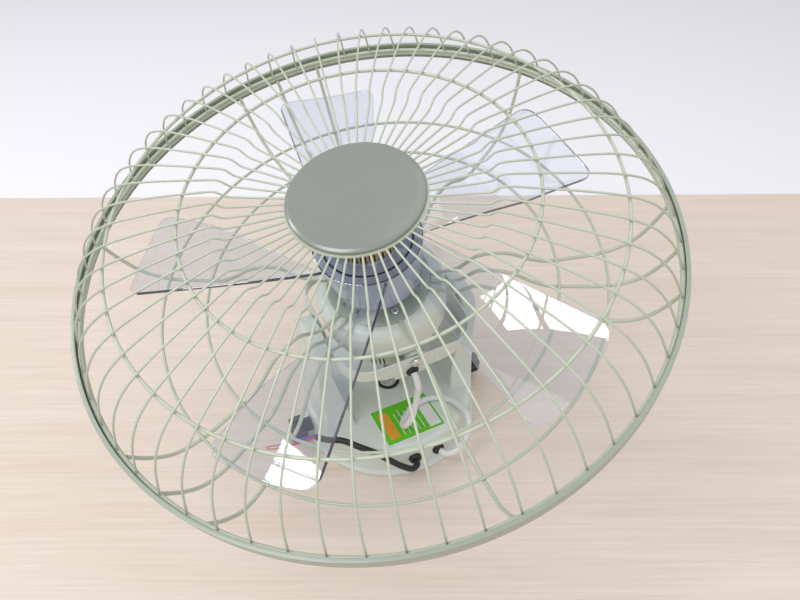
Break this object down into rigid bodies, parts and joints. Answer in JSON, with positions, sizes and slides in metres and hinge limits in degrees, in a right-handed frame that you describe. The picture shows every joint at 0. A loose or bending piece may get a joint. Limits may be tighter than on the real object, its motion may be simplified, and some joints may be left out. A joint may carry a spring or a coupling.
{
  "type": "orbital ceiling fan",
  "caption": "Caged orbital ceiling fan standing on its drum canopy, with a gimbal ring between two ears, a tilted wire guard, clear blades, a motor and a crank drive.",
  "frame": {"origin": "centre of the canopy's ceiling face, which is the face that the fan stands on here", "axes": "+Z from the ceiling face through the gimbal centre, +X along the axis of the two ears, to the right as the picture shows it"},
  "size_m": [0.475, 0.4778, 0.3449],
  "materials": {
    "paint": "satin",
    "guard": "satin",
    "trim": "satin",
    "blade": "clear",
    "nut": "matt",
    "knob": "satin",
    "gland": "matt",
    "bush": "matt",
    "steel": "plain",
    "chrome": "bright",
    "winding": "enamelled",
    "cord_black": "satin",
    "cord_white": "satin",
    "core_blue": "satin",
    "core_red": "satin",
    "copper": "stranded"
  },
  "bodies": {
    "canopy": {"canopy_housing": "paint", "socket_bush": "bush", "ceiling_plate": "steel", "gland_supply": "gland", "gland_jumper": "gland", "supply_cord": "cord_black", "core_blue": "core_blue", "strands_blue": "copper", "core_red": "core_red", "strands_red": "copper", "jumper_cord": "cord_white", "ear_bolt_right": "steel", "ear_bolt_left": "steel"},
    "knob_right": {"knob_right": "knob"},
    "knob_left": {"knob_left": "knob"},
    "orbit_ring": {"orbit_ring": "paint", "gland_ring": "gland", "pivot_bolt_front": "chrome", "pivot_bolt_rear": "chrome"},
    "head": {"motor_front": "paint", "motor_back": "paint", "stator": "winding", "gearbox": "trim", "rear_plate": "trim", "plate_screw_1": "chrome", "plate_screw_2": "chrome", "plate_screw_3": "chrome", "rear_guard": "guard", "rear_hoop_inner": "guard", "rear_hoop_outer": "guard", "front_guard": "guard", "front_hoop_inner": "guard", "front_hoop_outer": "guard", "badge": "trim", "badge_clamp": "trim", "rim_band": "trim", "rim_clip": "steel"},
    "rotor": {"shaft": "steel", "rotor_core": "steel", "blade_set": "blade", "lock_nut": "nut"},
    "crank": {"crank": "steel"}
  },
  "joints": [
    {"name": "ring_tilt", "type": "hinge", "parent": "canopy", "child": "orbit_ring", "pos_m": [0, 0, 0.1373], "axis": [1, 0, 0], "range_deg": [-30, 5.9], "deforming": ["jumper_cord"]},
    {"name": "head_tilt", "type": "hinge", "parent": "orbit_ring", "child": "head", "pos_m": [0, 0, 0.1373], "axis": [0, 0.9779, 0.2091], "range_deg": [-4.4, 31.5]},
    {"name": "rotor_spin", "type": "hinge", "parent": "head", "child": "rotor", "pos_m": [0, 0, 0.1373], "axis": [-0.2346, -0.2033, 0.9506], "continuous": true},
    {"name": "crank_spin", "type": "hinge", "parent": "head", "child": "crank", "pos_m": [0, 0, 0.1373], "axis": [-0.2346, -0.2033, 0.9506], "continuous": true},
    {"name": "knob_right_turn", "type": "hinge", "parent": "canopy", "child": "knob_right", "pos_m": [0.09, 0, 0.018], "axis": [1, 0, 0], "continuous": true},
    {"name": "knob_left_turn", "type": "hinge", "parent": "canopy", "child": "knob_left", "pos_m": [-0.09, 0, 0.018], "axis": [-1, 0, 0], "continuous": true}
  ],
  "couplings": [
    {"joint": "crank_spin", "follows": "rotor_spin", "ratio": 0.0054}
  ]
}
